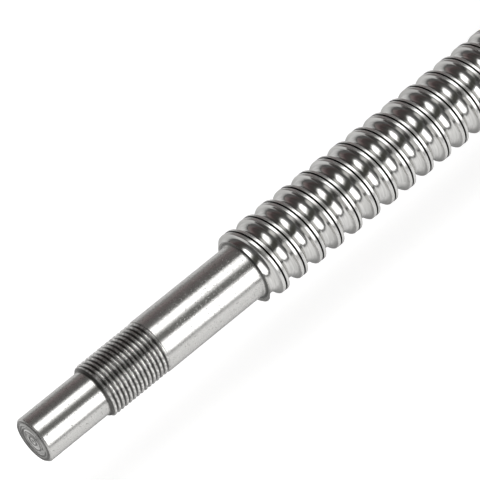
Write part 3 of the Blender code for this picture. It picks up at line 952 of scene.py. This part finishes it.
def moulded_plastic():
    """The wiper rings' black plastic."""
    n = Nodes("wiper_plastic_look")
    place, _, _, _ = n.position()
    cloud = n.noise(place, 0.5, detail=3.0)
    grain = n.noise(place, 7.0, detail=3.0, roughness=0.7)
    colour = n.mix(cloud, (0.016, 0.016, 0.018), (0.030, 0.030, 0.033))
    rough = n.spread(grain, 0.3, 0.7, 0.42, 0.58)
    return n.finish(colour, 0.0, rough, n.bump(grain, 0.02))


def paint_nodes(material, *names):
    """Gives CAD nodes whose shape is kept their procedural material."""
    for name in names:
        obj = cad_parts[name]
        obj.data.materials.clear()
        obj.data.materials.append(material)


# ---------------------------------------------------------------- studio


# Light from round the X axis, as degrees from straight up towards -Y, and red, green and blue
# shares of WORLD_STRENGTH.
WORLD_STRENGTH = 3.0
WORLD_BANDS = (
    (-180.0, 0.30, 0.30, 0.30),
    (-110.0, 0.20, 0.20, 0.20),
    (-98.0, 0.13, 0.125, 0.12),
    (-88.0, 0.088, 0.078, 0.076),
    (-78.0, 0.072, 0.056, 0.056),
    (-67.0, 0.032, 0.024, 0.024),
    (-47.0, 0.022, 0.021, 0.020),
    (-34.0, 0.035, 0.034, 0.032),
    (-28.5, 0.25, 0.25, 0.25),
    (-22.0, 1.0, 1.0, 1.0),
    (-4.0, 1.0, 1.0, 1.0),
    (3.0, 0.45, 0.45, 0.45),
    (10.0, 0.10, 0.10, 0.095),
    (16.0, 0.026, 0.026, 0.023),
    (32.0, 0.026, 0.026, 0.023),
    (37.0, 0.15, 0.15, 0.15),
    (42.0, 1.0, 1.0, 1.0),
    (77.0, 1.0, 1.0, 1.0),
    (83.0, 0.55, 0.55, 0.55),
    (87.0, 0.12, 0.12, 0.12),
    (91.0, 0.12, 0.12, 0.12),
    (95.0, 0.30, 0.30, 0.30),
    (180.0, 0.30, 0.30, 0.30),
)
# Share of those bands by the direction's X, the dim light beyond their ends, and at both poles.
WORLD_ALONG = (
    (-1.0, 0.0),
    (-0.75, 0.0),
    (-0.55, 0.06),
    (-0.35, 0.30),
    (-0.12, 1.0),
    (0.60, 1.0),
    (0.78, 0.45),
    (1.0, 0.25),
)
DIM_LIGHT = 0.042
POLE_PLUS, POLE_PLUS_START = 0.24, 0.86
POLE_MINUS, POLE_MINUS_START = 0.045, -0.85
# What a ray that has already left one polished wall finds, and its share. The depth of such a ray
# is over the limit.
SECOND_LIGHT, SECOND_SHARE, SECOND_DEPTH = 0.04, 0.6, 2.5
BACKDROP = 1.0
# The floor as the camera sees it: its paleness and its own light.
FLOOR_PALENESS, FLOOR_LIFT = 0.55, 0.68
# The floor in reflections, by y in millimetres: its paleness and its own light, both painted. It is
# painted dimmer far away, and a painted shadow of the screw darkens it under the screw.
FLOOR_BANDS = (
    (-1100.0, 0.10, 0.0),
    (-390.0, 0.30, 0.08),
    (-145.0, 0.60, 0.42),
    (-66.0, 0.60, 0.52),
    (-24.0, 0.60, 0.36),
    (-11.0, 0.58, 0.30),
    (-4.0, 0.42, 0.08),
    (6.0, 0.38, 0.02),
    (12.0, 0.44, 0.06),
    (24.0, 0.54, 0.25),
    (52.0, 0.52, 0.36),
    (96.0, 0.45, 0.26),
    (190.0, 0.30, 0.08),
    (480.0, 0.12, 0.0),
)


class Tree(Nodes):
    """The same calls for a node tree that is not a new material's."""

    def __init__(self, tree):
        self.tree = tree

    def ramp(self, value, stops):
        """A colour ramp over 0..1. stops are (place, red, green, blue)."""
        node = self.tree.nodes.new("ShaderNodeValToRGB")
        self.put(node.inputs[0], value)
        elements = node.color_ramp.elements
        elements.remove(elements[0])
        for index, (place, *colour) in enumerate(stops):
            element = elements[0] if index == 0 else elements.new(place)
            element.position = place
            element.color = (*colour, 1.0)
        return node.outputs[0]


def build_world():
    """Long soft lights beside and over the screw, with a plain white background for the camera."""
    world = bpy.data.worlds.new("studio")
    bpy.context.scene.world = world
    world.use_nodes = True
    n = Tree(world.node_tree)
    n.tree.nodes.clear()
    coordinates = n.tree.nodes.new("ShaderNodeTexCoord")
    split = n.tree.nodes.new("ShaderNodeSeparateXYZ")
    n.put(split.inputs[0], coordinates.outputs["Generated"])
    x, y, z = split.outputs
    angle = n.math("ARCTAN2", n.math("MULTIPLY", y, -1.0), z)
    share = n.spread(angle, -math.pi, math.pi, 0.0, 1.0, False)
    bands = n.ramp(share, [((stop[0] + 180.0) / 360.0, *stop[1:]) for stop in WORLD_BANDS])
    along = n.ramp(
        n.spread(x, -1.0, 1.0, 0.0, 1.0, False),
        [((place + 1.0) / 2.0, value, value, value) for place, value in WORLD_ALONG],
    )
    darker = n.tree.nodes.new("ShaderNodeMix")
    darker.data_type = "RGBA"
    darker.blend_type = "DARKEN"
    darker.inputs["Factor"].default_value = 1.0
    n.put(darker.inputs[6], bands)
    darker.inputs[7].default_value = (DIM_LIGHT, DIM_LIGHT, DIM_LIGHT, 1.0)
    light = n.mix(along, darker.outputs[2], bands)
    light = n.mix(n.spread(x, POLE_PLUS_START, 1.0, 0.0, 1.0), light, (POLE_PLUS,) * 3)
    light = n.mix(n.spread(x, -1.0, POLE_MINUS_START, 1.0, 0.0), light, (POLE_MINUS,) * 3)
    path = n.tree.nodes.new("ShaderNodeLightPath")
    second = n.math("GREATER_THAN", path.outputs["Ray Depth"], SECOND_DEPTH)
    second = n.math("MULTIPLY", second, path.outputs["Is Glossy Ray"])
    light = n.mix(n.math("MULTIPLY", second, SECOND_SHARE), light, (SECOND_LIGHT,) * 3)
    studio = n.tree.nodes.new("ShaderNodeBackground")
    studio.inputs["Strength"].default_value = WORLD_STRENGTH
    n.put(studio.inputs["Color"], light)
    plain = n.tree.nodes.new("ShaderNodeBackground")
    plain.inputs["Color"].default_value = (BACKDROP, BACKDROP, BACKDROP, 1.0)
    choose = n.tree.nodes.new("ShaderNodeMixShader")
    output = n.tree.nodes.new("ShaderNodeOutputWorld")
    n.put(choose.inputs[0], path.outputs["Is Camera Ray"])
    n.put(choose.inputs[1], studio.outputs[0])
    n.put(choose.inputs[2], plain.outputs[0])
    n.put(output.inputs["Surface"], choose.outputs[0])


def build_floor():
    """A plain pale floor, which the camera sees brighter than the screw's reflections do."""
    half = FLOOR_HALF
    corners = [(-half, -half), (half, -half), (half, half), (-half, half)]
    floor = object_from("floor", [Vector((x, y, FLOOR_Z)) for x, y in corners], [(0, 1, 2, 3)])
    transformed(floor, Matrix.Scale(MM, 4))
    material = bpy.data.materials.new("floor")
    material.use_nodes = True
    n = Tree(material.node_tree)
    shader = n.tree.nodes["Principled BSDF"]
    shader.inputs["Roughness"].default_value = 0.9
    shader.inputs["Specular IOR Level"].default_value = 0.0
    shader.inputs["Emission Color"].default_value = (1.0, 1.0, 1.0, 1.0)
    coordinates = n.tree.nodes.new("ShaderNodeTexCoord")
    split = n.tree.nodes.new("ShaderNodeSeparateXYZ")
    n.put(split.inputs[0], coordinates.outputs["Object"])
    low, high = FLOOR_BANDS[0][0], FLOOR_BANDS[-1][0]
    share = n.spread(split.outputs[1], low * MM, high * MM, 0.0, 1.0, False)
    stops = [((y - low) / (high - low), base, glow, 0.0) for y, base, glow in FLOOR_BANDS]
    # Painted light for reflections: paleness and glow by y, with a painted shadow of the screw
    # under it.
    bands = n.ramp(share, stops)
    parts = n.tree.nodes.new("ShaderNodeSeparateColor")
    n.put(parts.inputs[0], bands)
    base = n.join(parts.outputs[0], parts.outputs[0], parts.outputs[0])
    path = n.tree.nodes.new("ShaderNodeLightPath")
    seen = path.outputs["Is Camera Ray"]
    n.put(shader.inputs["Base Color"], n.mix(seen, base, (FLOOR_PALENESS,) * 3))
    n.put(shader.inputs["Emission Strength"], n.mix(seen, parts.outputs[1], (FLOOR_LIFT,) * 3))
    floor.data.materials.append(material)
    floor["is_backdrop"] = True


def build_camera():
    """A long lens on the drive end, from the side and above."""
    azimuth, elevation = math.radians(CAMERA_AZIMUTH), math.radians(CAMERA_ELEVATION)
    back = Vector(
        (
            math.sin(azimuth) * math.cos(elevation),
            -math.cos(azimuth) * math.cos(elevation),
            math.sin(elevation),
        )
    )
    data = bpy.data.cameras.new("camera")
    data.sensor_width = 36.0
    data.lens = CAMERA_LENS
    data.clip_start, data.clip_end = 0.01, 100.0
    camera = bpy.data.objects.new("camera", data)
    bpy.context.scene.collection.objects.link(camera)
    camera.location = (Vector(CAMERA_AIM) + back * CAMERA_DISTANCE) * MM
    camera.rotation_mode = "QUATERNION"
    camera.rotation_quaternion = (-back).to_track_quat("-Z", "Y")
    bpy.context.scene.camera = camera
    bpy.context.scene.view_settings.view_transform = "Standard"


# ---------------------------------------------------------------- scene


build_shaft(rolled_steel(), journal_steel())
build_nut(ground_steel())
build_wipers(moulded_plastic())
build_grub_screws(
    satin_metal("black_oxide_look", (0.035, 0.035, 0.038), (0.06, 0.06, 0.062), 0.38, 5.0, 0.01),
    satin_metal("zinc_look", (0.55, 0.56, 0.55), (0.68, 0.68, 0.64), 0.30, 5.0, 0.008),
)
INSERT_NODES = [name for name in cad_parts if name.startswith("return_insert")]
BALL_NODES = [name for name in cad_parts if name.startswith("ball_")]
paint_nodes(
    satin_metal("insert_look", (0.30, 0.295, 0.285), (0.42, 0.41, 0.40), 0.42, 4.0, 0.015),
    *INSERT_NODES,
)
paint_nodes(
    satin_metal("ball_look", (0.70, 0.70, 0.70), (0.78, 0.78, 0.78), 0.12, 3.0, 0.0005),
    *BALL_NODES,
)
build_world()
build_floor()
build_camera()

boxes = {"cad": CAD_BOX, "visual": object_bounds()}
{name: [list(corner) for corner in box] for name, box in boxes.items()}
